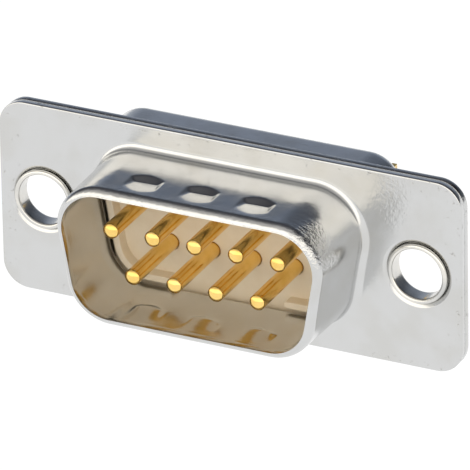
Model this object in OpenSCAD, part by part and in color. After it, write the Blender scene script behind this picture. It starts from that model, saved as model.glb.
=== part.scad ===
// Nine-way D-subminiature plug with solder cups.
// Two drawn steel shells hold two moulded insulators, and the contacts' collars
// are trapped between the mouldings. Two eyelets close the flanges on each other.
// Lengths are millimetres. The mating side faces -Y, the wide row is uppermost,
// and the origin is the centre of the flange's front face.

/* [Contact layout] */
// Contacts in the wide row; the narrow row has one less
wide_count = 5; // [3:1:13]
// Distance between neighbours in one row
contact_pitch = 2.77; // [2.5:0.01:3.4]
// Distance between the two rows
row_pitch = 2.84; // [2.6:0.01:3.4]

/* [Mouth of the front shell] */
// From the axis of a row's end contact to the widest point of the end wall
end_margin = 2.92; // [2.6:0.01:3.6]
// From the axis of a row to the long wall beside it
row_margin = 2.76; // [2.4:0.01:3.4]
// Lean of the two end walls, which makes the D
side_slant = 10; // [4:1:14]
// Radius of the mouth's corners, on the inside
mouth_r = 2.6; // [1.8:0.1:3.2]

/* [Front shell] */
// Thickness of the front shell's sheet
front_sheet = 0.45; // [0.3:0.01:0.55]
// From the flange's face to the end of the skirt
skirt_depth = 5.84; // [5.4:0.01:7.2]
// Inside radius of the bend from flange to skirt
skirt_root_r = 0.5; // [0.3:0.05:0.7]
// Outside radius of the skirt's free edge
skirt_lip_r = 0.6; // [0.6:0.05:0.8]
// How far the skirt's wall leans inward over its length
skirt_taper = 0.1; // [0.02:0.01:0.2]
// Step inward of the pierced edge from the skirt's wall
skirt_lip_step = 0.04; // [0.02:0.01:0.1]

/* [Skirt dimples] */
// Dimples in each long wall
dimple_count = 3; // [1:1:3]
// Distance between neighbouring dimples
dimple_pitch = 3.7; // [3:0.1:4]
// From the flange's face to the middle of a dimple
dimple_place = 3.8; // [3.4:0.1:4]
// Length of a dimple along the wall
dimple_w = 2.5; // [1.8:0.1:2.8]
// Length of a dimple along the skirt's depth
dimple_l = 2.1; // [1.4:0.1:2.2]
// How deep a dimple is pressed
dimple_depth = 0.3; // [0.2:0.05:0.35]

/* [Rear shell] */
// Thickness of the rear shell's sheet
rear_sheet = 0.5; // [0.3:0.01:0.6]
// How far the rear shell's outer wall stands outside the mouth's inner wall
rear_step = 1.18; // [1.1:0.01:1.5]
// Radius of the rear cup's corners, on the outside
rear_corner_r = 2.7; // [2.7:0.1:3.3]
// From the flange's front face to the back of the rear shell
rear_depth = 4.9; // [4.6:0.01:6.2]
// Inside radius of the bend from flange to rear cup
rear_root_r = 0.3; // [0.2:0.05:0.5]
// Outside radius of the rear cup's back edge
rear_lip_r = 1; // [0.8:0.05:1.2]
// How far the rear cup's wall leans inward over its length
rear_taper = 0.05; // [0.02:0.01:0.08]
// Step inward of the rear opening from the cup's wall
rear_lip_step = 0.4; // [0.3:0.01:0.45]

/* [Flange] */
// From the mouth's end wall to the centre of a fixing hole
hole_step = 4.035; // [3.8:0.005:4.8]
// From the centre of a fixing hole to the flange's end
flange_end = 2.91; // [2.8:0.01:3.6]
// From the mouth's long wall to the flange's long edge
flange_margin = 2.095; // [1.9:0.005:2.6]
// Radius of the flange's corners
flange_r = 1.7; // [0.8:0.1:2.5]

/* [Eyelets] */
// Radius of the bore through an eyelet
eyelet_bore_r = 1.6; // [1.4:0.05:1.7]
// Wall of an eyelet's tube
eyelet_wall = 0.25; // [0.2:0.01:0.3]
// Radius of the rolled edge on the front
eyelet_roll_r = 0.18; // [0.14:0.01:0.2]
// Radius of the head on the back
eyelet_head_r = 2.5; // [2.3:0.05:2.7]
// Thickness of the head on the back
eyelet_head_t = 0.25; // [0.2:0.01:0.4]
// Gap between an eyelet's tube and the holes in the sheets
eyelet_gap = 0.04; // [0.02:0.01:0.1]
// Width of the coined ring round the front hole
coin_w = 0.36; // [0.25:0.01:0.4]
// Depth of the coined ring
coin_depth = 0.2; // [0.1:0.01:0.25]

/* [Insulators] */
// From the flange's front face to the floor that the pins stand on
floor_depth = 0.5; // [0.46:0.01:0.7]
// Thickness of the floor where it covers the contacts' shanks
floor_web = 0.15; // [0.1:0.01:0.18]
// Height of the rim above that floor
rim_height = 0.8; // [0.5:0.05:1]
// Width of the rim
rim_w = 0.45; // [0.3:0.05:0.6]
// Gap between the rim and the skirt's wall
rim_gap = 0.24; // [0.15:0.01:0.3]
// Length of the break in the rim below the narrow row
rim_break = 7.9; // [5:0.1:8.5]
// From the flange's front face to the joint between the two insulators
joint_depth = 2.3; // [2.1:0.1:2.6]
// How far the rear insulator's block stands out behind the rear shell
block_out = 0.8; // [0.4:0.1:1.5]
// Gap between the insulators and the rear shell
insulator_gap = 0.1; // [0.08:0.01:0.15]

/* [Contacts] */
// Radius of a pin
pin_r = 0.51; // [0.4:0.01:0.55]
// From the flange's front face to the end of a pin
pin_reach = 5.02; // [4.6:0.01:5.4]
// Radius of the dome on a pin's end
pin_dome_r = 0.65; // [0.6:0.01:1]
// Radius of the shank that carries the pin inside the front insulator
shank_r = 0.78; // [0.75:0.01:0.9]
// Radius of a contact's collar
collar_r = 1.15; // [1.05:0.01:1.2]
// Length of a contact's collar, half in each insulator
collar_l = 1.4; // [1:0.1:1.6]
// Outside radius of a solder cup and its shank
cup_r = 0.95; // [0.8:0.01:1]
// Radius of the bore in a solder cup
cup_bore_r = 0.6; // [0.5:0.01:0.65]
// How far a solder cup stands out behind the rear insulator
cup_out = 4.5; // [4:0.1:6]
// Depth of the bore in a solder cup
cup_bore_depth = 4; // [3.8:0.1:4]
// Length of the scoop where the cup's wall is cut away
scoop_l = 2.7; // [2:0.1:2.7]
// Gap between a contact and its hole in an insulator
contact_gap = 0.03; // [0.02:0.01:0.06]

/* [Hidden] */
$fn = 64;
sheets = front_sheet + rear_sheet;
wide_span = (wide_count - 1) * contact_pitch;
contact_count = 2 * wide_count - 1;
mouth_w = wide_span + 2 * end_margin;
mouth_h = row_pitch + 2 * row_margin;
rear_w = mouth_w + 2 * (rear_step - rear_sheet);
rear_h = mouth_h + 2 * (rear_step - rear_sheet);
rear_r = rear_corner_r - rear_sheet;
hole_pitch = mouth_w + 2 * hole_step;
flange_w = hole_pitch + 2 * flange_end;
flange_h = mouth_h + 2 * flange_margin;
eyelet_hole_r = eyelet_bore_r + eyelet_wall + eyelet_gap;
block_depth = rear_depth + block_out;
shoulder_depth = rear_depth - rear_lip_r;
shank_depth = floor_depth + floor_web;
cup_depth = block_depth + cup_out;
// Where two stretches of a drawn sheet join, one is this much thinner on each face ...
weld_inset = 0.002;
// ... and runs this far into the other
weld_lap = 0.03;
// A dimple is the mark of a disc pressed edgeways into the wall
dimple_disc_r = (pow(dimple_w / 2, 2) + pow(dimple_depth, 2)) / (2 * dimple_depth);
steel = [0.80, 0.81, 0.81];
plated_steel = [0.74, 0.76, 0.78];
cream = [0.86, 0.80, 0.68];
gold = [0.90, 0.68, 0.28];
tin = [0.84, 0.82, 0.76];

// The D's corners, each as centre x, centre y, first angle of its arc, the arc's
// sweep and the length of the straight wall that leads away clockwise.
function d_corners(w, h, r) =
    let (
        y = h / 2 - r,
        wide_x = w / 2 - r,
        narrow_x = wide_x - 2 * y * tan(side_slant),
        side_l = 2 * y / cos(side_slant)
    ) [
        [wide_x, y, -side_slant, 90 + side_slant, side_l],
        [-wide_x, y, 90, 90 + side_slant, 2 * wide_x],
        [-narrow_x, -y, 180 + side_slant, 90 - side_slant, side_l],
        [narrow_x, -y, 270, 90 - side_slant, 2 * narrow_x]
    ];

// Where contact n stands: the wide row first, then the narrow row, left to right.
function contact_place(n) =
    n <= wide_count
    ? [(n - 1) * contact_pitch - wide_span / 2, row_pitch / 2]
    : [(n - wide_count - 0.5) * contact_pitch - wide_span / 2, -row_pitch / 2];

// Stands the model up: what was drawn facing +Z faces the mating side, -Y.
module stand_up() {
    rotate([90, 0, 0]) children();
}

// The D itself: its straight walls stand a hair inside its corners' tangents.
module d_outline(w, h, r, grow = 0) {
    corners = d_corners(w, h, r);
    reach = r + grow;
    wall = reach - weld_inset;
    polygon([
        for (c = corners, a = [c[2], c[2] + c[3]])
            [c[0] + wall * cos(a), c[1] + wall * sin(a)]
    ]);
    for (c = corners) translate([c[0], c[1]]) circle(r = reach);
}

// Carries a section, drawn as distance outside the D and height, round its corners.
module d_corner_sweep(w, h, r) {
    for (c = d_corners(w, h, r)) {
        translate([c[0], c[1], 0]) rotate([0, 0, c[2]])
            rotate_extrude(angle = c[3]) translate([r, 0]) children();
    }
}

// Carries a section along the D's straight walls, a little way into the corners too.
module d_wall_sweep(w, h, r) {
    for (c = d_corners(w, h, r)) {
        translate([c[0], c[1], 0]) rotate([0, 0, c[2]]) translate([0, weld_lap, 0])
            rotate([90, 0, 0]) linear_extrude(c[4] + 2 * weld_lap)
                translate([r, 0]) children();
    }
}

module at_holes() {
    for (side = [-1, 1]) translate([side * hole_pitch / 2, 0, 0]) children();
}

module at_contacts() {
    for (n = [1:contact_count]) translate(contact_place(n)) children();
}

module plate_outline() {
    square([flange_w - 2 * flange_r, flange_h], center = true);
    square([flange_w, flange_h - 2 * flange_r], center = true);
    for (x = [-1, 1], y = [-1, 1]) {
        translate([x * (flange_w / 2 - flange_r), y * (flange_h / 2 - flange_r)])
            circle(r = flange_r);
    }
}

// Section of a drawn wall: bend at the flange, leaning wall, rounded and pierced edge.
module drawn_section(sheet, depth, root_r, lip_r, taper, lip_step) {
    intersection() {
        translate([sheet + root_r, root_r]) difference() {
            circle(r = root_r + sheet);
            circle(r = root_r);
        }
        translate([0, -sheet]) square(sheet + root_r);
    }
    polygon([
        [0, root_r],
        [sheet, root_r],
        [sheet - taper, depth - lip_r],
        [-taper, depth - lip_r]
    ]);
    intersection() {
        translate([sheet - taper - lip_r, depth - lip_r]) difference() {
            circle(r = lip_r);
            circle(r = lip_r - sheet);
        }
        translate([-taper - lip_step, depth - lip_r]) square([sheet + lip_step, lip_r]);
    }
}

// The part of a drawn section that stands inside the flange's plate.
module section_root(sheet, root_r, inset, length) {
    translate([sheet + root_r - weld_lap, inset - sheet])
        square([weld_lap + length, sheet - 2 * inset]);
}

// One drawn sheet: a flange whose face is at z = 0 and a D-shaped skirt above it.
// The straight walls are a hair thinner than the corners that they run into.
module drawn_shell(w, h, r, sheet, depth, root_r, lip_r, taper, lip_step) {
    hair = weld_inset;
    translate([0, 0, -sheet]) linear_extrude(sheet) difference() {
        plate_outline();
        d_outline(w, h, r, sheet + root_r + hair);
        at_holes() circle(r = eyelet_hole_r);
    }
    d_corner_sweep(w, h, r) {
        drawn_section(sheet, depth, root_r, lip_r, taper, lip_step);
        section_root(sheet, root_r, hair, 2 * weld_lap);
    }
    d_wall_sweep(w, h, r) {
        translate([hair, -hair]) drawn_section(
            sheet - 2 * hair, depth, root_r + hair, lip_r - hair, taper, lip_step
        );
        section_root(sheet, root_r, 2 * hair, weld_lap);
    }
}

// A disc with a roof-shaped edge, its axis along the skirt's depth.
module dimple_disc(grow) {
    half_l = dimple_l / 2;
    slope = dimple_depth / half_l;
    reach = dimple_disc_r + grow;
    end_r = reach - slope * half_l * 1.2;
    rotate_extrude() polygon([
        [0, -half_l * 1.2],
        [end_r, -half_l * 1.2],
        [reach, 0],
        [end_r, half_l * 1.2],
        [0, half_l * 1.2]
    ]);
}

// Places a dimple's disc over each long wall, with +Y pointing out of the wall.
module at_dimples() {
    wall_y = mouth_h / 2 + front_sheet - skirt_taper / 2;
    for (wall = [0, 1], i = [0:dimple_count - 1]) {
        x = (i - (dimple_count - 1) / 2) * dimple_pitch;
        mirror([0, wall, 0]) translate([x, wall_y, dimple_place]) children();
    }
}

module front_shell() {
    disc_lift = dimple_disc_r - dimple_depth;
    bump_l = dimple_l + front_sheet;
    bump_w = dimple_w + 2 * front_sheet;
    bump_h = 2 * front_sheet;
    color(steel) stand_up() difference() {
        union() {
            drawn_shell(
                mouth_w, mouth_h, mouth_r, front_sheet, skirt_depth,
                skirt_root_r, skirt_lip_r, skirt_taper, skirt_lip_step
            );
            at_dimples() intersection() {
                translate([0, disc_lift, 0]) dimple_disc(front_sheet);
                translate([-bump_w / 2, -front_sheet / 2 - bump_h, -bump_l / 2])
                    cube([bump_w, bump_h, bump_l]);
            }
        }
        at_dimples() translate([0, disc_lift, 0]) dimple_disc(0);
        at_holes() translate([0, 0, -coin_depth]) cylinder(
            h = coin_depth, r1 = eyelet_hole_r, r2 = eyelet_hole_r + coin_w
        );
    }
}

module rear_shell() {
    color(plated_steel) stand_up() translate([0, 0, -sheets]) mirror([0, 0, 1]) drawn_shell(
        rear_w, rear_h, rear_r, rear_sheet, rear_depth - sheets,
        rear_root_r, rear_lip_r, rear_taper, rear_lip_step
    );
}

// A flat D that fills the rear shell between two depths behind the flange's face.
module d_block(front, back, grow) {
    translate([0, 0, -back]) linear_extrude(back - front)
        d_outline(rear_w, rear_h, rear_r, grow);
}

module rim() {
    rim_mid_y = mouth_h / 2 - rim_gap - rim_w / 2;
    translate([0, 0, -floor_depth]) linear_extrude(rim_height) {
        difference() {
            d_outline(mouth_w, mouth_h, mouth_r, -rim_gap);
            d_outline(mouth_w, mouth_h, mouth_r, -rim_gap - rim_w);
            translate([-rim_break / 2, -mouth_h / 2]) square([rim_break, row_margin]);
        }
        for (side = [-1, 1]) translate([side * rim_break / 2, -rim_mid_y]) circle(d = rim_w);
    }
}

module front_insulator() {
    color(cream) stand_up() difference() {
        union() {
            d_block(floor_depth, joint_depth, -insulator_gap);
            rim();
        }
        at_contacts() {
            translate([0, 0, -joint_depth]) cylinder(h = joint_depth, r = pin_r + contact_gap);
            translate([0, 0, -joint_depth])
                cylinder(h = joint_depth - shank_depth, r = shank_r + contact_gap);
            translate([0, 0, -joint_depth])
                cylinder(h = collar_l / 2, r = collar_r + contact_gap);
        }
    }
}

module rear_insulator() {
    color(cream) stand_up() difference() {
        union() {
            d_block(joint_depth, shoulder_depth, -insulator_gap);
            d_block(shoulder_depth, block_depth, -rear_taper - rear_lip_step - insulator_gap);
        }
        at_contacts() {
            translate([0, 0, -block_depth])
                cylinder(h = block_depth - joint_depth, r = cup_r + contact_gap);
            translate([0, 0, -joint_depth - collar_l / 2])
                cylinder(h = collar_l / 2, r = collar_r + contact_gap);
        }
    }
}

// The turned body of a contact, its axis along z and its pin pointing up.
module turned_contact() {
    rotate_extrude() {
        intersection() {
            translate([0, -shank_depth]) square([pin_r, shank_depth + pin_reach]);
            translate([0, pin_reach - pin_dome_r]) circle(r = pin_dome_r);
        }
        translate([0, -shank_depth]) square([pin_r, shank_depth + pin_reach - pin_dome_r]);
        translate([0, -joint_depth]) square([shank_r, joint_depth - shank_depth]);
        translate([0, -joint_depth - collar_l / 2]) square([collar_r, collar_l]);
        translate([0, -cup_depth]) square([cup_r, cup_depth - joint_depth]);
    }
}

// What is cut from the outer side of a solder cup: a level cut with a sloping start.
module scoop(side) {
    level = cup_r * 0.15;
    slope_l = cup_r - level;
    mirror([0, side < 0 ? 1 : 0, 0]) translate([-cup_r, 0, -cup_depth]) rotate([90, 0, 90])
        linear_extrude(2 * cup_r) polygon([
            [level, 0],
            [level, scoop_l - slope_l],
            [cup_r, scoop_l],
            [cup_r, 0]
        ]);
}

module contact(n) {
    place = contact_place(n);
    color(gold) stand_up() translate([place[0], place[1], 0]) difference() {
        turned_contact();
        translate([0, 0, -cup_depth]) cylinder(h = cup_bore_depth, r = cup_bore_r);
        scoop(place[1]);
    }
}

// A flared tube: rolled edge on the front, flat head on the back.
module eyelet(side) {
    tube_r = eyelet_bore_r + eyelet_wall;
    color(tin) stand_up() translate([side * hole_pitch / 2, 0, 0]) rotate_extrude() {
        translate([eyelet_bore_r, -sheets - eyelet_head_t])
            square([eyelet_wall, sheets + eyelet_head_t]);
        translate([eyelet_bore_r + eyelet_roll_r, 0]) circle(r = eyelet_roll_r);
        translate([eyelet_bore_r, -sheets - eyelet_head_t])
            square([eyelet_head_r - eyelet_bore_r, eyelet_head_t]);
    }
}

front_shell();
rear_shell();
front_insulator();
rear_insulator();
for (n = [1:contact_count]) {
    contact(n);
}
eyelet(-1);  // eyelet_left
eyelet(1);  // eyelet_right
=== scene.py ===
"""A nine-way D-subminiature plug with solder cups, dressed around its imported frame."""

import logging
import math
from dataclasses import dataclass, field
from enum import Enum
from typing import Callable, Optional, Sequence

import bmesh
import bpy
import numpy as np
from mathutils import Matrix, Vector
from mathutils.geometry import delaunay_2d_cdt

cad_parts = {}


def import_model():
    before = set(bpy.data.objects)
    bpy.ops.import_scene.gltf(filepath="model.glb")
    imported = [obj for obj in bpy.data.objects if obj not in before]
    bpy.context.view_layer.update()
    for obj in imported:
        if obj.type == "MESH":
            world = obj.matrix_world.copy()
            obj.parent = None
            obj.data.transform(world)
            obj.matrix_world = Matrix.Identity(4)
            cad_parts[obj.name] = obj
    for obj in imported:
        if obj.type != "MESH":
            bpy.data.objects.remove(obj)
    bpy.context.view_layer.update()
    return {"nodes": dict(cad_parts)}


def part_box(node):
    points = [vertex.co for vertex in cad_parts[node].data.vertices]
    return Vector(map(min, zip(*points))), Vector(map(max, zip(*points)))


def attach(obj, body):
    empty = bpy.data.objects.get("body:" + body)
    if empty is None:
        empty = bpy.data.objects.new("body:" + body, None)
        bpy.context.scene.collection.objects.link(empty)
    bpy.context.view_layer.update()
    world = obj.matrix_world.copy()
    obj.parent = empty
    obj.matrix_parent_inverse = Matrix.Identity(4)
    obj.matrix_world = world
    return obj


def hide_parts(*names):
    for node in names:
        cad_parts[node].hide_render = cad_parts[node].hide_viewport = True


LOG = logging.getLogger("connector")
MM = 0.001

Profile = list[tuple[float, float]]


class Side(Enum):
    """Which way a solder cup's open side faces."""

    UP = 1.0
    DOWN = -1.0


# ---------------------------------------------------------------- outlines


@dataclass(frozen=True)
class Trace:
    """Points round an outline, each with its outward normal, in millimetres."""

    points: np.ndarray
    normals: np.ndarray

    def moved_out(self, distance: float) -> np.ndarray:
        """Returns the points moved outward by a distance in millimetres."""
        return self.points + self.normals * distance

    def opened_below(self, half_gap: float) -> "Trace":
        """Cuts a gap out of the lowest wall and starts the trace at its right end.

        Args:
            half_gap: Half the gap's length, in millimetres.

        Returns:
            An open trace that runs counter-clockwise from the gap back to the gap.
        """
        low = self.points[:, 1] < self.points[:, 1].min() + 1e-6
        keep = ~(low & (np.abs(self.points[:, 0]) <= half_gap))
        start = int(np.argmax(low & (self.points[:, 0] > half_gap)))
        order = [i for i in np.roll(np.arange(len(keep)), -start) if keep[i]]
        floor = self.points[:, 1].min()
        ends = [np.array([[side * half_gap, floor]]) for side in (1.0, -1.0)]
        down = np.array([[0.0, -1.0]])
        return Trace(
            np.vstack([ends[0], self.points[order], ends[1]]),
            np.vstack([down, self.normals[order], down]),
        )


@dataclass(frozen=True)
class FourWalls:
    """A closed outline of four straight walls and four round corners.

    Lengths are in millimetres. A slant of the two end walls makes it a D, and none a
    rectangle.
    """

    width: float
    height: float
    radius: float
    slant: float = 0.0

    def trace(self, wall_step: float, corner_steps: int, end_step: float = 0.6) -> Trace:
        """Walks once round the outline, counter-clockwise seen from the front.

        Args:
            wall_step: Longest step along the two long walls.
            corner_steps: Steps in each corner.
            end_step: Longest step along the two end walls.

        Returns:
            The points with their normals.
        """
        lean = math.radians(self.slant)
        up = self.height / 2 - self.radius
        wide = self.width / 2 - self.radius
        narrow = wide - 2 * up * math.tan(lean)
        turns = [
            (wide, up, -lean, math.pi / 2, wall_step),
            (-wide, up, math.pi / 2, math.pi + lean, end_step),
            (-narrow, -up, math.pi + lean, 1.5 * math.pi, wall_step),
            (narrow, -up, 1.5 * math.pi, 2 * math.pi - lean, end_step),
        ]
        points, normals = [], []
        for i, (x, z, start, stop, step) in enumerate(turns):
            for angle in np.linspace(start, stop, corner_steps + 1):
                normals.append((math.cos(angle), math.sin(angle)))
                points.append((x + self.radius * normals[-1][0], z + self.radius * normals[-1][1]))
            after = turns[(i + 1) % 4]
            normal = np.array(normals[-1])
            first = np.array(points[-1])
            last = np.array(after[:2]) + self.radius * normal
            count = max(1, math.ceil(float(np.linalg.norm(last - first)) / step))
            for share in np.arange(1, count) / count:
                points.append(tuple(first + (last - first) * share))
                normals.append(tuple(normal))
        return Trace(np.array(points), np.array(normals))


def circle_trace(x: float, z: float, radius: float, steps: int) -> Trace:
    """Walks round a circle.

    Args:
        x: Centre along X, in millimetres.
        z: Centre along Z, in millimetres.
        radius: Radius in millimetres.
        steps: Number of points.

    Returns:
        The points with their normals.
    """
    angles = np.arange(steps) * 2 * math.pi / steps
    normals = np.stack([np.cos(angles), np.sin(angles)], axis=1)
    return Trace(np.array([[x, z]]) + normals * radius, normals)


def arc(cx: float, cy: float, radius: float, start: float, stop: float, steps: int) -> Profile:
    """Returns points of an arc in a section, its angles in degrees."""
    angles = np.radians(np.linspace(start, stop, steps + 1))
    return [(cx + radius * math.cos(a), cy + radius * math.sin(a)) for a in angles]


def line(start: tuple[float, float], stop: tuple[float, float], steps: int) -> Profile:
    """Returns points of a straight line in a section, both ends included."""
    shares = np.linspace(0, 1, steps + 1)
    return [
        (start[0] + (stop[0] - start[0]) * s, start[1] + (stop[1] - start[1]) * s) for s in shares
    ]


# ---------------------------------------------------------------- mesh building


@dataclass
class MeshDraft:
    """Collects rings of points and the faces between them, in millimetres."""

    verts: list[np.ndarray] = field(default_factory=list)
    faces: list[tuple[int, ...]] = field(default_factory=list)
    slots: list[int] = field(default_factory=list)
    count: int = 0

    def ring(self, flat: np.ndarray, depth: float) -> np.ndarray:
        """Adds a ring of points at one depth.

        Args:
            flat: Points across the connector, as X and Z.
            depth: Place along Y.

        Returns:
            The new points' indices.
        """
        xyz = np.stack([flat[:, 0], np.full(len(flat), depth), flat[:, 1]], axis=1)
        return self.add(xyz)

    def add(self, xyz: np.ndarray) -> np.ndarray:
        """Adds points and returns their indices."""
        self.verts.append(np.asarray(xyz, float))
        first = self.count
        self.count += len(xyz)
        return np.arange(first, self.count)

    def bridge(self, a: np.ndarray, b: np.ndarray, slot: int = 0, closed: bool = True) -> None:
        """Joins two rings of as many points with quads.

        Args:
            a: Indices of one ring.
            b: Indices of the other.
            slot: Material slot of the faces.
            closed: Whether the last point joins the first.
        """
        count = len(a)
        for i in range(count if closed else count - 1):
            j = (i + 1) % count
            self.faces.append((int(a[i]), int(a[j]), int(b[j]), int(b[i])))
            self.slots.append(slot)

    def fan(self, ring: np.ndarray, centre: Sequence[float], slot: int = 0) -> None:
        """Closes a ring with triangles to a point at its middle."""
        middle = int(self.add(np.array([centre]))[0])
        for i in range(len(ring)):
            self.faces.append((int(ring[i]), int(ring[(i + 1) % len(ring)]), middle))
            self.slots.append(slot)

    def fill(self, outer: np.ndarray, holes: Sequence[np.ndarray], slot: int = 0) -> None:
        """Fills a flat face at one depth between an outer ring and its holes.

        Args:
            outer: Indices of the ring round the face.
            holes: Indices of the rings of its holes.
            slot: Material slot of the faces.
        """
        table = np.vstack(self.verts)
        loops = [np.asarray(outer)] + [np.asarray(h) for h in holes]
        index = np.concatenate(loops)
        flat = table[index][:, [0, 2]]
        edges, base = [], 0
        for loop in loops:
            n = len(loop)
            edges += [(base + i, base + (i + 1) % n) for i in range(n)]
            base += n
        made, _, tris, origin, _, _ = delaunay_2d_cdt(
            [Vector(p) for p in flat], edges, [], 0, 1e-7
        )
        back = [index[o[0]] if o else -1 for o in origin]
        centres = np.array([np.mean([made[k] for k in t], axis=0) for t in tris])
        inside = in_polygon(centres, flat[: len(outer)])
        base = len(outer)
        for hole in holes:
            inside &= ~in_polygon(centres, flat[base : base + len(hole)])
            base += len(hole)
        for tri, keep in zip(tris, inside):
            if keep and all(back[k] >= 0 for k in tri):
                self.faces.append(tuple(int(back[k]) for k in tri))
                self.slots.append(slot)

    def build(self, name: str, sharp: float = 40.0) -> bpy.types.Object:
        """Makes the mesh object.

        Args:
            name: The object's name.
            sharp: Angle between faces, in degrees, above which an edge is sharp.

        Returns:
            The object, in metres and linked to the scene.
        """
        mesh = bpy.data.meshes.new(name)
        table = np.vstack(self.verts) * MM
        mesh.from_pydata(table.tolist(), [], self.faces)
        mesh.polygons.foreach_set("material_index", np.array(self.slots, dtype=np.int32))
        work = bmesh.new()
        work.from_mesh(mesh)
        bmesh.ops.remove_doubles(work, verts=work.verts, dist=1e-8)
        loose = [v for v in work.verts if not v.link_faces]
        bmesh.ops.delete(work, geom=loose, context="VERTS")
        bmesh.ops.recalc_face_normals(work, faces=work.faces)
        work.to_mesh(mesh)
        work.free()
        mesh.shade_smooth()
        mesh.set_sharp_from_angle(angle=math.radians(sharp))
        piece = bpy.data.objects.new(name, mesh)
        bpy.context.scene.collection.objects.link(piece)
        return piece


def in_polygon(points: np.ndarray, polygon: np.ndarray) -> np.ndarray:
    """Says which points lie inside a polygon.

    Args:
        points: The points to test, as rows of two numbers.
        polygon: The polygon's corners in order.

    Returns:
        One truth value a point.
    """
    inside = np.zeros(len(points), bool)
    x, y = points[:, 0], points[:, 1]
    for (x0, y0), (x1, y1) in zip(polygon, np.roll(polygon, -1, axis=0)):
        if y0 == y1:
            continue
        crosses = (y0 > y) != (y1 > y)
        inside ^= crosses & (x < (x1 - x0) * (y - y0) / (y1 - y0) + x0)
    return inside


# ---------------------------------------------------------------- finishes


@dataclass
class Graph:
    """Short ways to add and join shader nodes in one node tree."""

    tree: bpy.types.NodeTree

    def node(self, kind: str, **settings: object) -> bpy.types.Node:
        """Adds a node and sets its properties."""
        made = self.tree.nodes.new(kind)
        for key, value in settings.items():
            setattr(made, key, value)
        return made

    def join(self, source: bpy.types.NodeSocket, target: bpy.types.NodeSocket) -> None:
        """Links two sockets."""
        self.tree.links.new(source, target)

    def feed(self, target: bpy.types.NodeSocket, value: object) -> None:
        """Links a socket's source to a target, or sets the target's plain value."""
        if isinstance(value, bpy.types.NodeSocket):
            self.join(value, target)
        else:
            target.default_value = value

    def millimetres(
        self, stretch: tuple[float, float, float] = (1.0, 1.0, 1.0)
    ) -> bpy.types.NodeSocket:
        """Gives object coordinates in millimetres, stretched along each axis."""
        place = self.node("ShaderNodeTexCoord").outputs["Object"]
        grow = self.node("ShaderNodeVectorMath", operation="MULTIPLY")
        self.join(place, grow.inputs[0])
        grow.inputs[1].default_value = tuple(s / MM for s in stretch)
        return grow.outputs[0]

    def noise(
        self,
        place: bpy.types.NodeSocket,
        scale: float,
        detail: float = 2.0,
        rough: float = 0.5,
        twist: float = 0.0,
    ) -> bpy.types.NodeSocket:
        """Gives fractal noise with a mean of about a half."""
        made = self.node("ShaderNodeTexNoise")
        self.join(place, made.inputs["Vector"])
        made.inputs["Scale"].default_value = scale
        made.inputs["Detail"].default_value = detail
        made.inputs["Roughness"].default_value = rough
        made.inputs["Distortion"].default_value = twist
        return made.outputs["Fac"]

    def sum_of(self, kind: str, a: object, b: object = 0.0) -> bpy.types.NodeSocket:
        """Gives a Math node's result.

        Args:
            kind: The Math node's operation.
            a: First number or socket.
            b: Second number or socket.

        Returns:
            The result's socket.
        """
        made = self.node("ShaderNodeMath", operation=kind)
        self.feed(made.inputs[0], a)
        self.feed(made.inputs[1], b)
        return made.outputs[0]

    def spread(
        self,
        value: object,
        low: float,
        high: float,
        to_low: float = 0.0,
        to_high: float = 1.0,
        smooth: bool = True,
    ) -> bpy.types.NodeSocket:
        """Maps a range of values onto another, clamped at both ends."""
        made = self.node("ShaderNodeMapRange")
        made.interpolation_type = "SMOOTHSTEP" if smooth else "LINEAR"
        self.feed(made.inputs["Value"], value)
        for key, number in (
            ("From Min", low), ("From Max", high), ("To Min", to_low), ("To Max", to_high),
        ):
            made.inputs[key].default_value = number
        return made.outputs["Result"]

    def blot(
        self,
        place: bpy.types.NodeSocket,
        centre: tuple[float, float, float],
        inner: float,
        outer: float,
    ) -> bpy.types.NodeSocket:
        """Gives a mask that is 1 within one distance of a point and 0 beyond another."""
        away = self.node("ShaderNodeVectorMath", operation="DISTANCE")
        self.join(place, away.inputs[0])
        away.inputs[1].default_value = centre
        return self.spread(away.outputs["Value"], inner, outer, 1.0, 0.0)

    def tint(self, share: object, a: object, b: object) -> bpy.types.NodeSocket:
        """Mixes two colours by a share."""
        made = self.node("ShaderNodeMix", data_type="RGBA")
        self.feed(made.inputs[0], share)
        for slot, colour in ((6, a), (7, b)):
            if isinstance(colour, bpy.types.NodeSocket):
                self.join(colour, made.inputs[slot])
            else:
                made.inputs[slot].default_value = (*colour, 1.0)
        return made.outputs[2]

    def axes(self, place: bpy.types.NodeSocket) -> tuple[bpy.types.NodeSocket, ...]:
        """Splits coordinates into X, Y and Z."""
        made = self.node("ShaderNodeSeparateXYZ")
        self.join(place, made.inputs[0])
        return tuple(made.outputs)

    def bump(
        self,
        height: bpy.types.NodeSocket,
        depth: float,
        after: Optional[bpy.types.NodeSocket] = None,
    ) -> bpy.types.NodeSocket:
        """Gives a normal bent by a height of the stated depth in millimetres."""
        made = self.node("ShaderNodeBump")
        made.inputs["Strength"].default_value = 1.0
        made.inputs["Distance"].default_value = depth * MM
        self.join(height, made.inputs["Height"])
        if after is not None:
            self.join(after, made.inputs["Normal"])
        return made.outputs["Normal"]


def fresh_material(name: str) -> tuple[bpy.types.Material, Graph, bpy.types.Node]:
    """Makes a material with a Principled shader.

    Args:
        name: The material's name.

    Returns:
        The material, its graph and its shader.
    """
    made = bpy.data.materials.new(name)
    made.use_nodes = True
    graph = Graph(made.node_tree)
    shader = next(n for n in made.node_tree.nodes if n.type == "BSDF_PRINCIPLED")
    return made, graph, shader


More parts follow.
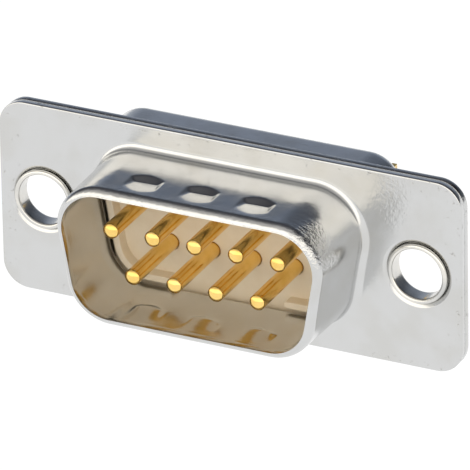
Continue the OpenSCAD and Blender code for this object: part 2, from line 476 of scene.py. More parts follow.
@dataclass(frozen=True)
class PlatedSheet:
    """Bright plated steel sheet with a fine orange peel and small marks of handling."""

    name: str
    colour: tuple[float, float, float] = (0.63, 0.635, 0.635)
    stained: tuple[float, float, float] = (0.60, 0.60, 0.588)
    speckled: tuple[float, float, float] = (0.30, 0.29, 0.27)
    roughness: float = 0.17
    peel_scale: float = 3.2
    peel_depth: float = 0.004
    speck_scale: float = 2.6
    speck_depth: float = 0.01
    speck_share: float = 0.55
    worn_x: tuple[float, float] = (13.2, 15.2)
    worn_z: tuple[float, float] = (4.9, 6.2)
    crumpled: bool = False
    grain_scale: float = 3.6
    corner: tuple[float, float, float] = (8.3, -5.0, 3.3)
    corner_depth: float = 0.10
    patch: tuple[float, float, float] = (10.6, 0.0, 4.6)
    patch_depth: float = 0.03
    lip_y: tuple[float, float] = (-5.7, -4.6)
    lip_z: tuple[float, float] = (2.5, 4.0)
    lip_depth: float = 0.02

    def make(self) -> bpy.types.Material:
        """Builds the material."""
        made, graph, shader = fresh_material(self.name)
        place = graph.millimetres()
        x, y, z = graph.axes(place)
        stain = graph.spread(graph.noise(place, 0.35, 3.0), 0.4, 0.68)
        colour = graph.tint(stain, self.colour, self.stained)
        rim_x = graph.spread(graph.sum_of("ABSOLUTE", x), *self.worn_x)
        rim_z = graph.spread(graph.sum_of("ABSOLUTE", z), *self.worn_z)
        rim = graph.sum_of("MAXIMUM", rim_x, rim_z)
        specks = graph.spread(graph.noise(place, self.speck_scale, 4.0, 0.7), 0.60, 0.68)
        spots = graph.sum_of("MULTIPLY", specks, rim)
        dark = graph.sum_of("MULTIPLY", spots, self.speck_share)
        colour = graph.tint(dark, colour, self.speckled)
        graph.join(colour, shader.inputs["Base Color"])
        shader.inputs["Metallic"].default_value = 1.0
        gloss = graph.spread(
            graph.noise(place, 0.8, 3.0), 0.3, 0.7, self.roughness * 0.8, self.roughness * 1.3
        )
        graph.join(gloss, shader.inputs["Roughness"])
        peel = graph.noise(place, self.peel_scale, 2.0, 0.55)
        patchy = graph.spread(graph.noise(place, 0.5), 0.35, 0.65, 0.3, 1.0)
        fine = graph.sum_of("MULTIPLY", peel, patchy)
        normal = graph.bump(fine, self.peel_depth)
        normal = graph.bump(spots, -self.speck_depth, normal)
        if self.crumpled:
            normal = self._crumple(graph, place, y, z, normal)
        graph.join(normal, shader.inputs["Normal"])
        return made

    def _crumple(
        self,
        graph: Graph,
        place: bpy.types.NodeSocket,
        y: bpy.types.NodeSocket,
        z: bpy.types.NodeSocket,
        normal: bpy.types.NodeSocket,
    ) -> bpy.types.NodeSocket:
        """Adds the coarse grain where the sheet was drawn hardest.

        Args:
            graph: The material's graph.
            place: Object coordinates in millimetres.
            y: Their Y.
            z: Their Z.
            normal: The normal so far.

        Returns:
            The normal with the grain.
        """
        corner = graph.blot(place, self.corner, 0.7, 2.3)
        flange = graph.blot(place, self.patch, 0.6, 2.6)
        lip = graph.sum_of(
            "MULTIPLY", graph.spread(y, *self.lip_y, 1.0, 0.0), graph.spread(z, *self.lip_z)
        )
        grain = graph.noise(place, self.grain_scale, 3.0, 0.6)
        coarse = graph.sum_of("MULTIPLY", grain, corner)
        normal = graph.bump(coarse, self.corner_depth, normal)
        normal = graph.bump(graph.sum_of("MULTIPLY", grain, flange), self.patch_depth, normal)
        return graph.bump(graph.sum_of("MULTIPLY", grain, lip), self.lip_depth, normal)


@dataclass(frozen=True)
class ShearedEdge:
    """The cut edge of a sheet, duller than its faces and streaked through its thickness."""

    name: str
    dark: tuple[float, float, float] = (0.12, 0.12, 0.125)
    light: tuple[float, float, float] = (0.34, 0.34, 0.35)

    def make(self) -> bpy.types.Material:
        """Builds the material."""
        made, graph, shader = fresh_material(self.name)
        place = graph.millimetres((1.0, 3.0, 1.0))
        streaks = graph.noise(place, 2.4, 4.0, 0.65)
        colour = graph.tint(graph.spread(streaks, 0.35, 0.7), self.dark, self.light)
        graph.join(colour, shader.inputs["Base Color"])
        shader.inputs["Metallic"].default_value = 1.0
        graph.join(graph.spread(streaks, 0.3, 0.7, 0.28, 0.5), shader.inputs["Roughness"])
        graph.join(graph.bump(streaks, 0.02), shader.inputs["Normal"])
        return made


@dataclass(frozen=True)
class GoldPlate:
    """Gold plating on a turned pin, with faint drawing lines along it."""

    name: str
    bright: tuple[float, float, float] = (0.95, 0.66, 0.22)
    deep: tuple[float, float, float] = (0.88, 0.58, 0.16)

    def make(self) -> bpy.types.Material:
        """Builds the material."""
        made, graph, shader = fresh_material(self.name)
        place = graph.millimetres((1.0, 0.06, 1.0))
        lines = graph.noise(place, 7.0, 3.0, 0.6)
        cloud = graph.noise(graph.millimetres(), 0.9, 3.0)
        colour = graph.tint(graph.spread(cloud, 0.35, 0.7), self.bright, self.deep)
        graph.join(colour, shader.inputs["Base Color"])
        shader.inputs["Metallic"].default_value = 1.0
        graph.join(graph.spread(lines, 0.3, 0.7, 0.10, 0.22), shader.inputs["Roughness"])
        graph.join(graph.bump(lines, 0.006), shader.inputs["Normal"])
        return made


@dataclass(frozen=True)
class CreamMoulding:
    """Cream thermoplastic, satin, with a soft mottle."""

    name: str
    pale: tuple[float, float, float] = (0.86, 0.76, 0.60)
    deep: tuple[float, float, float] = (0.82, 0.71, 0.54)

    def make(self) -> bpy.types.Material:
        """Builds the material."""
        made, graph, shader = fresh_material(self.name)
        place = graph.millimetres()
        cloud = graph.noise(place, 0.7, 4.0, 0.6)
        colour = graph.tint(graph.spread(cloud, 0.3, 0.7), self.pale, self.deep)
        graph.join(colour, shader.inputs["Base Color"])
        satin = graph.spread(graph.noise(place, 3.0, 3.0), 0.3, 0.7, 0.36, 0.5)
        graph.join(satin, shader.inputs["Roughness"])
        graph.join(graph.bump(graph.noise(place, 9.0, 3.0), 0.004), shader.inputs["Normal"])
        return made


def dress(piece: bpy.types.Object, *materials: bpy.types.Material) -> None:
    """Gives a piece its materials in slot order."""
    piece.data.materials.clear()
    for material in materials:
        piece.data.materials.append(material)


def settle(piece: bpy.types.Object, node: str) -> None:
    """Puts a piece in its node's place on the body and logs it.

    Args:
        piece: The piece.
        node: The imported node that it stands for.
    """
    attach(piece, "root")
    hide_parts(node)
    LOG.info("%s: %d faces for %s", piece.name, len(piece.data.polygons), node)


# ---------------------------------------------------------------- pieces


def node_box(node: str) -> tuple[np.ndarray, np.ndarray]:
    """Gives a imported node's lowest and highest corners in millimetres."""
    low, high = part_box(node)
    return np.array(low) / MM, np.array(high) / MM


def softest(heights: Sequence[np.ndarray], soft: float) -> np.ndarray:
    """Gives the least of several heights with their meeting edges rounded."""
    least = heights[0]
    for height in heights[1:]:
        apart = least - height
        least = 0.5 * (least + height - np.sqrt(apart**2 + soft**2))
    return least


@dataclass(frozen=True)
class Dimple:
    """A dimple pressed into a long wall: a long ramp at its front and a short one behind."""

    x: float
    y: float
    half_width: float = 1.06
    front: float = 1.16
    back: float = 0.96
    ramp: float = 0.145
    rear_ramp: float = 0.36
    side_ramp: float = 0.62
    bow: float = 0.42

    def press(self, x: np.ndarray, y: float, soft: float) -> np.ndarray:
        """Gives how far the sheet is pressed in.

        Args:
            x: Places along the wall.
            y: Place along the skirt's depth.
            soft: How far its edges are rounded.

        Returns:
            One depth for each place, in millimetres.
        """
        across = (x - self.x) / self.half_width
        bowed = self.bow * across**2
        height = softest(
            [
                self.ramp * (y - (self.y - self.front + bowed)),
                self.rear_ramp * ((self.y + self.back - bowed) - y),
                self.side_ramp * self.half_width * (1.0 - np.abs(across)),
            ],
            soft,
        )
        return 0.5 * (height + np.sqrt(height**2 + soft**2))


@dataclass(frozen=True)
class Section:
    """Rings of a swept wall: each an offset outward, a depth and the slot of the strip before it."""

    rings: tuple[tuple[float, float, int], ...]

    @staticmethod
    def joined(*runs: tuple[Profile, int]) -> "Section":
        """Strings runs of points together, each with its material slot."""
        rings: list[tuple[float, float, int]] = []
        for points, slot in runs:
            for offset, depth in points:
                if rings and math.dist(rings[-1][:2], (offset, depth)) < 1e-6:
                    continue
                rings.append((offset, depth, slot))
        return Section(tuple(rings))


@dataclass(frozen=True)
class Flange:
    """The oblong plate with two holes that both shells share."""

    width: float = 30.81
    height: float = 12.55
    radius: float = 1.7
    roll: float = 0.07
    hole_r: float = 1.89
    roll_reach: float = 1.6
    roll_steps: int = 6
    support: float = 0.05
    hole_steps: int = 96

    def outline(self) -> Trace:
        """Walks round the plate."""
        return FourWalls(self.width, self.height, self.radius).trace(0.8, 20, 0.8)

    def rim(self, draft: MeshDraft, rolled: float, cut: float) -> tuple[np.ndarray, np.ndarray]:
        """Builds the plate's cut edge.

        Args:
            draft: The mesh so far.
            rolled: Depth of the face that the punch entered, whose edge is rounded.
            cut: Depth of the other face.

        Returns:
            The rings that bound the rolled face and the other face.
        """
        trace = self.outline()
        way = math.copysign(1.0, cut - rolled)
        roll = self.roll
        inset = roll * self.roll_reach
        rolled_ring = draft.ring(trace.moved_out(-inset - self.support), rolled)
        last = rolled_ring
        for i in range(self.roll_steps + 1):
            turn = 0.5 * math.pi * i / self.roll_steps
            out = -inset * (1 - math.sin(turn))
            ring = draft.ring(trace.moved_out(out), rolled + way * roll * (1 - math.cos(turn)))
            draft.bridge(last, ring, 0)
            last = ring
        for out, depth, slot in (
            (0.0, cut - way * 0.03, 1), (-0.012, cut - way * 0.01, 1), (-0.03, cut, 1),
            (-0.03 - self.support, cut, 0),
        ):
            ring = draft.ring(trace.moved_out(out), depth)
            draft.bridge(last, ring, slot)
            last = ring
        return rolled_ring, last

    def hole(
        self, draft: MeshDraft, x: float, front: float, back: float, coin: tuple[float, float]
    ) -> tuple[np.ndarray, np.ndarray]:
        """Builds one fixing hole.

        Args:
            draft: The mesh so far.
            x: The hole's place along X.
            front: Depth of the face that is coined.
            back: Depth of the other face.
            coin: Width and depth of the coined cone round the front edge.

        Returns:
            The rings that bound the coined face and the other face.
        """
        way = math.copysign(1.0, back - front)
        wide, deep = coin
        stations = [
            (wide + self.support, 0.0, 0), (wide + 0.01, 0.002, 0), (wide - 0.02, 0.012, 0),
            (0.02, deep - 0.012, 0), (0.0, deep + 0.01, 0), (0.0, abs(back - front) - 0.01, 1),
            (0.01, abs(back - front), 1), (self.support, abs(back - front), 0),
        ]
        rings = []
        for grow, depth, slot in stations:
            flat = circle_trace(x, 0.0, self.hole_r + grow, self.hole_steps).points
            ring = draft.ring(flat, front + way * depth)
            if rings:
                draft.bridge(rings[-1], ring, slot)
            rings.append(ring)
        return rings[0], rings[-1]


def sweep(
    draft: MeshDraft,
    trace: Trace,
    section: Section,
    press: Optional[Callable[[Trace, float, float], np.ndarray]] = None,
) -> list[np.ndarray]:
    """Sweeps a section round a trace.

    Args:
        draft: The mesh so far.
        trace: The outline to follow.
        section: The wall's section.
        press: Gives how far each point of a ring is pressed inward, from the trace, the
            ring's offset and its depth.

    Returns:
        The rings in order.
    """
    rings = []
    for offset, depth, slot in section.rings:
        flat = trace.moved_out(offset)
        if press is not None:
            flat = flat - trace.normals * press(trace, offset, depth)[:, None]
        ring = draft.ring(flat, depth)
        if rings:
            draft.bridge(rings[-1], ring, slot)
        rings.append(ring)
    return rings


@dataclass(frozen=True)
class FrontShell:
    """The front shell: a flange and a D-shaped skirt drawn from one sheet, with dimples."""

    plating: bpy.types.Material
    sheared: bpy.types.Material
    flange: Flange = Flange()
    mouth: FourWalls = FourWalls(16.92, 8.36, 2.6, 10.0)
    sheet: float = 0.45
    root_r: float = 0.5
    lip_r: float = 0.6
    lip_y: float = -5.24
    taper: float = 0.1
    edge_step: float = 0.04
    dimples: tuple[Dimple, ...] = tuple(Dimple(x, -3.8) for x in (-3.7, 0.0, 3.7))
    coin: tuple[float, float] = (0.36, 0.2)
    band: tuple[float, float] = (-5.15, -2.5)
    band_step: float = 0.05
    outer_soft: float = 0.018
    inner_soft: float = 0.07

    def section(self) -> Section:
        """Gives the skirt's section, from the flange's face round the lip to the flange's back."""
        sheet, root = self.sheet, self.root_r
        bend = sheet + root
        lip = sheet - self.taper - self.lip_r
        edge = -self.taper - self.edge_step
        outer_end = math.degrees(math.acos((edge - lip) / self.lip_r))
        inner_r = self.lip_r - sheet
        inner_end = math.degrees(math.acos((edge - lip) / inner_r))
        start = self.band[1]
        fine = np.arange(start - self.band_step, -5.12, -self.band_step)

        def lean(y: float) -> float:
            """Gives how far the wall leans in at a depth."""
            return self.taper * (y + root) / (self.lip_y + root)

        outer = [(sheet - lean(y), y) for y in np.linspace(-root, start, 6)]
        outer += [(sheet - lean(y), y) for y in fine] + [(sheet - self.taper, self.lip_y)]
        inner = [(-lean(y), y) for y in (self.lip_y, *fine[::-1], *np.linspace(start, -root, 10))]
        cut = [
            (edge, self.lip_y - self.lip_r * math.sin(math.radians(outer_end))),
            (edge, self.lip_y - inner_r * math.sin(math.radians(inner_end))),
        ]
        return Section.joined(
            ([(bend + self.flange.support, 0.0)], 0),
            (arc(bend, -root, root, 90, 180, 12), 0),
            (outer, 0),
            (arc(lip, self.lip_y, self.lip_r, 0, -outer_end + 2.0, 14), 0),
            ([(edge + 0.012, cut[0][1]), (edge, cut[0][1] + 0.02)], 0),
            ([(edge, cut[1][1] - 0.01)], 1),
            (arc(lip, self.lip_y, inner_r, -inner_end + 3.0, 0, 5), 0),
            (inner, 0),
            (arc(bend, -root, bend, 180, 90, 14), 0),
            ([(bend + self.flange.support, sheet)], 0),
        )

    def press(self, trace: Trace, offset: float, depth: float) -> np.ndarray:
        """Gives how far the dimples push each point of a ring inward.

        Args:
            trace: The outline that the ring follows.
            offset: How far the ring stands outside the outline.
            depth: The ring's depth.

        Returns:
            One distance for each point, in millimetres.
        """
        inward = np.zeros(len(trace.points))
        if not self.band[0] <= depth <= self.band[1]:
            return inward
        inside = offset < self.sheet / 2
        soft = self.inner_soft if inside else self.outer_soft
        flat = np.abs(trace.normals[:, 1]) > 0.999
        for dimple in self.dimples:
            pressed = dimple.press(trace.points[:, 0], depth, soft)
            inward = np.maximum(inward, np.where(flat, pressed, 0.0))
        return inward

    def build(self, holes: Sequence[float]) -> bpy.types.Object:
        """Builds and dresses the shell.

        Args:
            holes: Places of the fixing holes along X.

        Returns:
            The shell.
        """
        draft = MeshDraft()
        rings = sweep(draft, self.mouth.trace(0.09, 28), self.section(), self.press)
        front, back = self.flange.rim(draft, 0.0, self.sheet)
        pairs = [self.flange.hole(draft, x, 0.0, self.sheet, self.coin) for x in holes]
        draft.fill(front, [rings[0], *(p[0] for p in pairs)])
        draft.fill(back, [rings[-1], *(p[1] for p in pairs)])
        piece = draft.build("front_shell_skin", 38.0)
        dress(piece, self.plating, self.sheared)
        settle(piece, "front_shell")
        return piece


@dataclass(frozen=True)
class RearShell:
    """The rear shell: the same flange with a shallow cup behind it that holds the mouldings."""

    plating: bpy.types.Material
    sheared: bpy.types.Material
    flange: Flange = Flange()
    cup: FourWalls = FourWalls(19.28, 10.72, 2.2, 10.0)
    front_y: float = 0.45
    sheet: float = 0.5
    root_r: float = 0.3
    lip_r: float = 1.0
    lip_y: float = 3.9
    taper: float = 0.05
    edge_step: float = 0.4

    def section(self) -> Section:
        """Gives the cup's section, from the flange's back round the lip to its front."""
        sheet, root = self.sheet, self.root_r
        back_y = self.front_y + sheet
        bend_y = back_y + root
        lip = -self.taper - self.lip_r
        edge = -self.taper - self.edge_step - sheet
        outer_end = math.degrees(math.acos((edge - lip) / self.lip_r))
        inner_r = self.lip_r - sheet
        inner_end = math.degrees(math.acos((edge - lip) / inner_r))
        rise = self.lip_r * math.sin(math.radians(outer_end))
        fall = inner_r * math.sin(math.radians(inner_end))
        return Section.joined(
            ([(root + self.flange.support, back_y)], 0),
            (arc(root, bend_y, root, 270, 180, 8), 0),
            (line((0.0, bend_y), (-self.taper, self.lip_y), 6), 0),
            (arc(lip, self.lip_y, self.lip_r, 0, outer_end - 1.0, 14), 0),
            ([(edge, self.lip_y + rise - 0.02)], 0),
            ([(edge, self.lip_y + fall + 0.01)], 1),
            (arc(lip, self.lip_y, inner_r, inner_end - 2.0, 0, 6), 0),
            (line((-self.taper - sheet, self.lip_y), (-sheet, bend_y), 4), 0),
            (arc(root, bend_y, root + sheet, 180, 270, 10), 0),
            ([(root + self.flange.support, self.front_y)], 0),
        )

    def build(self, holes: Sequence[float]) -> bpy.types.Object:
        """Builds and dresses the shell.

        Args:
            holes: Places of the fixing holes along X.

        Returns:
            The shell.
        """
        draft = MeshDraft()
        rings = sweep(draft, self.cup.trace(0.5, 28), self.section())
        back_y = self.front_y + self.sheet
        back, front = self.flange.rim(draft, back_y, self.front_y)
        pairs = [self.flange.hole(draft, x, back_y, self.front_y, (0.02, 0.02)) for x in holes]
        draft.fill(back, [rings[0], *(p[0] for p in pairs)])
        draft.fill(front, [rings[-1], *(p[1] for p in pairs)])
        piece = draft.build("rear_shell_skin", 38.0)
        dress(piece, self.plating, self.sheared)
        settle(piece, "rear_shell")
        return piece


def bored(
    draft: MeshDraft,
    centres: Sequence[tuple[float, float]],
    stations: Sequence[tuple[float, float]],
    steps: int = 48,
) -> tuple[list[np.ndarray], list[np.ndarray]]:
    """Builds the walls of equal holes through a moulding.

    Args:
        draft: The mesh so far.
        centres: The holes' places as X and Z.
        stations: Radius and depth of each ring, from the front to the back.
        steps: Number of points in a ring.

    Returns:
        The holes' front rings and their back rings.
    """
    fronts, backs = [], []
    for x, z in centres:
        rings = [
            draft.ring(circle_trace(x, z, radius, steps).points, depth)
            for radius, depth in stations
        ]
        for a, b in zip(rings, rings[1:]):
            draft.bridge(a, b)
        fronts.append(rings[0])
        backs.append(rings[-1])
    return fronts, backs


@dataclass(frozen=True)
class FrontInsulator:
    """The front moulding: a block behind the mouth, its floor with nine holes and a low rim."""

    plastic: bpy.types.Material
    block: FourWalls = FourWalls(18.08, 9.52, 1.65, 10.0)
    mouth: FourWalls = FourWalls(16.92, 8.36, 2.6, 10.0)
    block_y: float = 0.5
    joint_y: float = 2.3
    rim_y: float = -0.3
    rim_outer: float = -0.24
    rim_inner: float = -0.69
    half_break: float = 3.95
    hole_r: float = 0.54
    shank_hole_r: float = 0.81
    shank_y: float = 1.15
    fillet: float = 0.06
    rim_soft: float = 0.07
    end_steps: int = 12

    def build(self, centres: Sequence[tuple[float, float]]) -> bpy.types.Object:
        """Builds and dresses the moulding.

        Args:
            centres: The contacts' places as X and Z.

        Returns:
            The moulding.
        """
        draft = MeshDraft()
        trace = self.block.trace(0.6, 20)
        soft = self.fillet
        rings = sweep(draft, trace, Section.joined(
            ([(-soft - 0.04, self.block_y)], 0),
            (arc(-soft, self.block_y + soft, soft, 270, 360, 4), 0),
            (arc(-soft, self.joint_y - soft, soft, 0, 90, 4), 0),
            ([(-soft - 0.04, self.joint_y)], 0),
        ))
        fronts, backs = bored(draft, centres, (
            (self.hole_r + 0.09, self.block_y), (self.hole_r + 0.05, self.block_y),
            (self.hole_r + 0.015, self.block_y + 0.015), (self.hole_r, self.block_y + 0.05),
            (self.hole_r, self.shank_y), (self.shank_hole_r, self.shank_y),
            (self.shank_hole_r, self.joint_y), (self.shank_hole_r + 0.04, self.joint_y),
        ))
        draft.fill(rings[0], fronts)
        draft.fill(rings[-1], backs)
        self._rim(draft)
        piece = draft.build("front_moulding", 50.0)
        dress(piece, self.plastic)
        settle(piece, "front_insulator")
        return piece

    def _rim(self, draft: MeshDraft) -> None:
        """Adds the low rim inside the mouth, open below and round at both ends."""
        trace = self.mouth.trace(0.3, 24).opened_below(self.half_break)
        middle = 0.5 * (self.rim_outer + self.rim_inner)
        half = 0.5 * (self.rim_outer - self.rim_inner)
        soft = self.rim_soft
        section = [(half, self.block_y + 0.02)]
        section += [
            (half - soft + soft * math.cos(a), self.rim_y + soft - soft * math.sin(a))
            for a in np.linspace(0, math.pi / 2, 5)
        ]
        section += [(0.3 * half, self.rim_y)]
        ends = []
        for side, index in ((1.0, 0), (-1.0, -1)):
            centre = trace.points[index] + trace.normals[index] * middle
            ends.append((centre, side))
        loops = []
        for grow, depth in section:
            outer = trace.moved_out(middle + grow)
            inner = trace.moved_out(middle - grow)[::-1]
            caps = []
            for centre, side in (ends[1], ends[0]):
                turns = np.radians(np.linspace(0, 180, self.end_steps + 1))[1:-1]
                angles = side * math.pi / 2 + turns
                caps.append(centre + grow * np.stack([np.cos(angles), np.sin(angles)], axis=1))
            loops.append(draft.ring(np.vstack([outer, caps[0], inner, caps[1]]), depth))
        for a, b in zip(loops, loops[1:]):
            draft.bridge(a, b)
        draft.fill(loops[-1], [])


@dataclass(frozen=True)
class RearInsulator:
    """The rear moulding: a block in the rear shell and a smaller one that stands out behind."""

    plastic: bpy.types.Material
    block: FourWalls = FourWalls(18.08, 9.52, 1.65, 10.0)
    front_y: float = 2.3
    step_y: float = 3.9
    back_y: float = 5.7
    step: float = 0.45
    hole_r: float = 0.98
    fillet: float = 0.1

    def build(self, centres: Sequence[tuple[float, float]]) -> bpy.types.Object:
        """Builds and dresses the moulding.

        Args:
            centres: The contacts' places as X and Z.

        Returns:
            The moulding.
        """
        draft = MeshDraft()
        soft = self.fillet
        rings = sweep(draft, self.block.trace(0.6, 20), Section.joined(
            ([(-0.09, self.front_y)], 0),
            (arc(-0.05, self.front_y + 0.05, 0.05, 270, 360, 3), 0),
            (arc(-soft, self.step_y - soft, soft, 0, 90, 4), 0),
            ([(-self.step + 0.04, self.step_y), (-self.step, self.step_y + 0.02)], 0),
            (arc(-self.step - soft, self.back_y - soft, soft, 0, 90, 5), 0),
            ([(-self.step - soft - 0.05, self.back_y)], 0),
        ))
        fronts, backs = bored(draft, centres, (
            (self.hole_r + 0.04, self.front_y), (self.hole_r, self.front_y),
            (self.hole_r, self.back_y - 0.08), (self.hole_r + 0.02, self.back_y - 0.02),
            (self.hole_r + 0.08, self.back_y), (self.hole_r + 0.12, self.back_y),
        ))
        draft.fill(rings[0], fronts)
        draft.fill(rings[-1], backs)
        piece = draft.build("rear_moulding", 50.0)
        dress(piece, self.plastic)
        settle(piece, "rear_insulator")
        return piece


def lathe(
    draft: MeshDraft, x: float, z: float, profile: Sequence[tuple[float, float, int]], steps: int
) -> None:
    """Turns a profile round an axis along Y.

    Args:
        draft: The mesh so far.
        x: The axis's place along X.
        z: The axis's place along Z.
        profile: Radius, depth and material slot of each ring; radius 0 closes an end.
        steps: Number of points in a ring.
    """
    last = None
    pending = None
    for radius, depth, slot in profile:
        if radius < 1e-9:
            if last is None:
                pending = (x, depth, z)
            else:
                draft.fan(last, (x, depth, z), slot)
            continue
        ring = draft.ring(circle_trace(x, z, radius, steps).points, depth)
        if pending is not None:
            draft.fan(ring, pending, slot)
            pending = None
        if last is not None:
            draft.bridge(last, ring, slot)
        last = ring


@dataclass(frozen=True)
class Contact:
    """A turned contact: a round pin, a shank, a collar and a solder cup cut open at its end."""

    gold: bpy.types.Material
    pin_r: float = 0.51
    dome_r: float = 0.65
    shank_r: float = 0.78
    shank_y: float = 1.15
    collar_r: float = 1.15
    collar: tuple[float, float] = (1.6, 3.0)
    cup_r: float = 0.95
    bore_r: float = 0.6
    bore_l: float = 4.0
    scoop_l: float = 2.7
    scoop_level: float = 0.1425
    scoop_flat: float = 1.8925
    edge: float = 0.05
    drill_tip: float = 0.25
    dome_steps: int = 9
    steps: int = 64
    sharp: float = 35.0

    def profile(self, tip: float, end: float) -> list[tuple[float, float, int]]:
        """Gives the turned profile from the pin's tip round to the bottom of the cup."""
        rise = self.dome_r - math.sqrt(self.dome_r**2 - self.pin_r**2)
        reach = math.asin(self.pin_r / self.dome_r)
        rings: list[tuple[float, float, int]] = [(0.0, tip, 0)]
        for turn in np.linspace(0.12, 1.0, self.dome_steps):
            angle = reach * turn * 0.985
            rings.append(
                (self.dome_r * math.sin(angle), tip + self.dome_r * (1 - math.cos(angle)), 0)
            )
        rings += [(self.pin_r, tip + rise + 0.03, 0), (self.pin_r, tip + rise + 0.3, 0)]
        start, stop = self.collar
        edge = self.edge
        rings += [
            (self.pin_r, self.shank_y, 0), (self.shank_r, self.shank_y, 0),
            (self.shank_r, start, 0), (self.collar_r - edge, start, 0),
            (self.collar_r, start + edge, 0), (self.collar_r, stop - edge, 0),
            (self.collar_r - edge, stop, 0), (self.cup_r, stop, 0),
            (self.cup_r, end - edge, 0), (self.cup_r - 0.015, end - 0.015, 0),
            (self.cup_r - edge, end, 0), (self.bore_r + edge, end, 0),
            (self.bore_r + 0.01, end - 0.012, 0), (self.bore_r, end - edge, 0),
            (self.bore_r, end - self.bore_l, 0),
            (0.0, end - self.bore_l - self.drill_tip, 0),
        ]
        return rings

    def build(
        self,
        name: str,
        node: str,
        centre: tuple[float, float],
        reach: tuple[float, float],
        side: Side,
    ) -> bpy.types.Object:
        """Builds and dresses one contact.

        Args:
            name: The piece's name.
            node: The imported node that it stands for.
            centre: The contact's axis as X and Z.
            reach: Depths of its tip and its end.
            side: Which way its cup opens.

        Returns:
            The contact.
        """
        tip, end = reach
        draft = MeshDraft()
        lathe(draft, centre[0], centre[1], self.profile(tip, end), self.steps)
        piece = draft.build(name, self.sharp)
        self._scoop(piece, centre, end, side)
        dress(piece, self.gold)
        settle(piece, node)
        return piece

    def _scoop(
        self, piece: bpy.types.Object, centre: tuple[float, float], end: float, side: Side
    ) -> None:
        """Cuts the cup's outer side away."""
        x, z = centre
        up = side.value
        level = z + up * self.scoop_level
        high = z + up * (self.cup_r + 0.2)
        over = end - self.scoop_l - (self.scoop_l - self.scoop_flat) * 0.2 / (
            self.cup_r - self.scoop_level
        )
        flat = [(end + 0.5, level), (end - self.scoop_flat, level), (over, high), (end + 0.5, high)]
        draft = MeshDraft()
        sides = []
        for across in (x - self.cup_r - 0.3, x + self.cup_r + 0.3):
            sides.append(draft.add(np.array([(across, y, w) for y, w in flat])))
        draft.bridge(sides[0], sides[1])
        draft.faces += [tuple(int(i) for i in sides[0]), tuple(int(i) for i in sides[1])]
        draft.slots += [0, 0]
        knife = draft.build("scoop_knife")
        cut = piece.modifiers.new("scoop", "BOOLEAN")
        cut.operation = "DIFFERENCE"
        cut.solver = "EXACT"
        cut.object = knife
        graph = bpy.context.evaluated_depsgraph_get()
        made = bpy.data.meshes.new_from_object(piece.evaluated_get(graph))
        piece.modifiers.clear()
        piece.data = made
        bpy.data.objects.remove(knife)
        made.shade_smooth()
        made.set_sharp_from_angle(angle=math.radians(self.sharp))


@dataclass(frozen=True)
class Eyelet:
    """A tubular rivet: a flat head behind the flanges, rolled over at its front."""

    metal: bpy.types.Material
    bore_r: float = 1.64
    tube_r: float = 1.85
    roll_r: float = 0.16
    head_r: float = 2.5
    head_y: float = 0.95
    flare_r: float = 0.3
    steps: int = 96

    def build(
        self, name: str, node: str, centre: tuple[float, float], back: float
    ) -> bpy.types.Object:
        """Builds and dresses one eyelet.

        Args:
            name: The piece's name.
            node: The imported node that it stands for.
            centre: The eyelet's axis as X and Z.
            back: Depth of its head's back.

        Returns:
            The eyelet.
        """
        middle = self.bore_r + self.roll_r
        meet = math.degrees(math.acos((self.tube_r - middle) / self.roll_r))
        flare = self.flare_r
        rings = [(self.bore_r, back - flare), (self.bore_r, 0.15)]
        rings += arc(middle, 0.0, self.roll_r, 180, 360 + meet, 22)
        rings += [(self.tube_r, self.head_y - 0.02), (self.tube_r + 0.03, self.head_y)]
        rings += [(self.head_r - 0.06, self.head_y)]
        rings += arc(self.head_r - 0.05, self.head_y + 0.05, 0.05, 270, 360, 4)
        rings += arc(self.head_r - 0.08, back - 0.08, 0.08, 0, 90, 5)
        rings += [(self.head_r - 0.14, back), (self.bore_r + flare + 0.04, back)]
        rings += arc(self.bore_r + flare, back - flare, flare, 90, 180, 8)
        draft = MeshDraft()
        lathe(draft, centre[0], centre[1], [(r, y, 0) for r, y in rings], self.steps)
        piece = draft.build(name, 50.0)
        dress(piece, self.metal)
        settle(piece, node)
        return piece


# ---------------------------------------------------------------- studio


# Angle up from the rear horizon, over the top and down to the front one, with its light.
SKY_STOPS = (
    (0.0, (0.50, 0.54, 0.60)), (20.0, (0.32, 0.36, 0.44)), (27.0, (0.27, 0.31, 0.39)),
    (31.0, (0.17, 0.20, 0.26)), (38.0, (0.09, 0.10, 0.12)), (60.0, (0.06, 0.06, 0.07)),
    (85.0, (0.16, 0.16, 0.17)), (105.0, (0.55, 0.54, 0.52)), (128.0, (0.70, 0.68, 0.65)),
    (136.0, (1.60, 1.54, 1.43)), (150.0, (1.92, 1.82, 1.66)), (168.0, (1.85, 1.77, 1.63)),
    (176.0, (1.30, 1.27, 1.20)), (180.0, (1.0, 0.99, 0.97)),
)


@dataclass(frozen=True)
class Camera:
    """The viewpoint: angles in degrees, lengths in millimetres."""

    azimuth: float = 26.24
    elevation: float = 26.45
    roll: float = -1.10
    lens: float = 689.36
    distance: float = 541.9
    along: float = 0.37
    above: float = 0.07

    def place(self) -> bpy.types.Object:
        """Makes the scene's camera."""
        az, el, ro = (math.radians(a) for a in (self.azimuth, self.elevation, self.roll))
        away = Vector((math.sin(az) * math.cos(el), -math.cos(az) * math.cos(el), math.sin(el)))
        right = Vector((math.cos(az), math.sin(az), 0.0))
        up = right.cross(-away)
        rolled = math.cos(ro) * right + math.sin(ro) * up
        upright = -math.sin(ro) * right + math.cos(ro) * up
        data = bpy.data.cameras.new("camera")
        data.lens = self.lens
        data.sensor_width = 36.0
        data.clip_start = 0.01
        data.clip_end = 20.0
        data.dof.use_dof = False
        made = bpy.data.objects.new("camera", data)
        bpy.context.scene.collection.objects.link(made)
        target = (right * self.along + up * self.above) * MM
        spot = target + away * self.distance * MM
        turn = Matrix((rolled, upright, away)).transposed().to_4x4()
        made.matrix_world = Matrix.Translation(spot) @ turn
        bpy.context.scene.camera = made
        return made


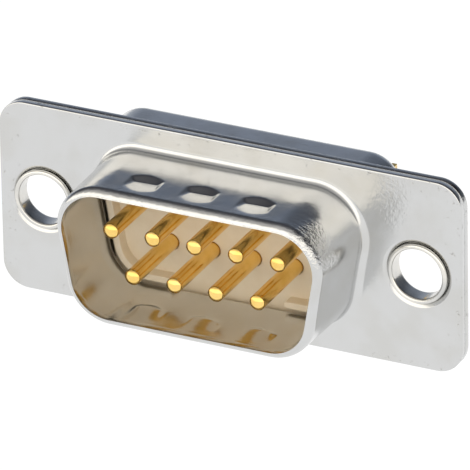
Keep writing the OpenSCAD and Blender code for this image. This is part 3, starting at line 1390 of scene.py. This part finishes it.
@dataclass(frozen=True)
class Studio:
    """A pale floor far below the connector and a soft sky that is brighter in front."""

    floor_drop: float = 35.0
    floor_size: float = 3000.0
    floor_glow: float = 0.99
    floor_grey: float = 0.08
    sky_peak: float = 2.0
    side_fade: tuple[float, float] = (0.0, 0.45)
    side_share: float = 0.25
    behind_fade: tuple[float, float] = (-0.1, 0.25)

    def floor(self) -> bpy.types.Object:
        """Makes the floor."""
        draft = MeshDraft()
        half = self.floor_size / 2
        z = -self.floor_drop
        corners = draft.add(
            np.array([(-half, -half, z), (half, -half, z), (half, half, z), (-half, half, z)])
        )
        draft.faces.append(tuple(int(i) for i in corners))
        draft.slots.append(0)
        made = draft.build("floor")
        material, graph, shader = fresh_material("pale_floor")
        shader.inputs["Base Color"].default_value = (*(self.floor_grey,) * 3, 1.0)
        shader.inputs["Roughness"].default_value = 0.9
        shader.inputs["Emission Color"].default_value = (1.0, 1.0, 1.0, 1.0)
        shader.inputs["Emission Strength"].default_value = self.floor_glow
        dress(made, material)
        return made

    def sky(self) -> None:
        """Builds the light that surrounds the connector."""
        world = bpy.data.worlds.new("soft_sky")
        bpy.context.scene.world = world
        world.use_nodes = True
        graph = Graph(world.node_tree)
        shade = next(n for n in world.node_tree.nodes if n.type == "BACKGROUND")
        way = graph.node("ShaderNodeTexCoord").outputs["Generated"]
        x, y, z = graph.axes(way)
        turn = graph.sum_of("ARCTAN2", z, y)
        share = graph.sum_of("DIVIDE", turn, math.pi)
        ramp = graph.node("ShaderNodeValToRGB")
        graph.join(share, ramp.inputs["Fac"])
        table = ramp.color_ramp.elements
        while len(table) < len(SKY_STOPS):
            table.new(0.5)
        for element, (angle, colour) in zip(table, SKY_STOPS):
            element.position = angle / 180.0
            element.color = (*(c / self.sky_peak for c in colour), 1.0)
        side = graph.spread(x, *self.side_fade, 1.0, self.side_share)
        behind = graph.spread(y, *self.behind_fade)
        dim = graph.tint(behind, (1.0, 1.0, 1.0), side)
        mixed = graph.node("ShaderNodeMix", data_type="RGBA", blend_type="MULTIPLY")
        mixed.inputs[0].default_value = 1.0
        graph.join(ramp.outputs["Color"], mixed.inputs[6])
        graph.join(dim, mixed.inputs[7])
        graph.join(mixed.outputs[2], shade.inputs["Color"])
        shade.inputs["Strength"].default_value = self.sky_peak


# ---------------------------------------------------------------- assembly


def main() -> None:
    """Builds the connector piece by piece."""
    logging.basicConfig(level=logging.INFO, format="%(message)s")
    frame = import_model()
    Camera().place()
    studio = Studio()
    studio.floor()
    studio.sky()
    bpy.context.scene.view_settings.view_transform = "Standard"

    plating = PlatedSheet("front_plating", crumpled=True).make()
    rear_plating = PlatedSheet("rear_plating", roughness=0.2).make()
    sheared = ShearedEdge("sheared_edge").make()
    gold = GoldPlate("gold_plate").make()
    cream = CreamMoulding("cream_moulding").make()
    eyelet_metal = PlatedSheet(
        "eyelet_plating", colour=(0.78, 0.76, 0.71), roughness=0.2
    ).make()

    eyelets = {}
    for node in ("eyelet_left", "eyelet_right"):
        low, high = node_box(node)
        eyelets[node] = (0.5 * (low + high), high[1])
    holes = [float(centre[0]) for centre, _ in eyelets.values()]
    contacts = {}
    for number in range(1, 10):
        low, high = node_box(f"contact_{number}")
        contacts[f"contact_{number}"] = (0.5 * (low + high), (float(low[1]), float(high[1])))
    centres = [(float(c[0]), float(c[2])) for c, _ in contacts.values()]

    FrontShell(plating, sheared).build(holes)
    RearShell(rear_plating, sheared).build(holes)
    FrontInsulator(cream).build(centres)
    RearInsulator(cream).build(centres)
    for node, (centre, reach) in contacts.items():
        side = Side.UP if centre[2] > 0 else Side.DOWN
        axis = (float(centre[0]), float(centre[2]))
        Contact(gold).build(f"{node}_turned", node, axis, reach, side)
    for node, (centre, back) in eyelets.items():
        axis = (float(centre[0]), float(centre[2]))
        Eyelet(eyelet_metal).build(f"{node}_flared", node, axis, float(back))
    LOG.info("%d nodes in the frame", len(frame["nodes"]))


if __name__ == "__main__":
    main()
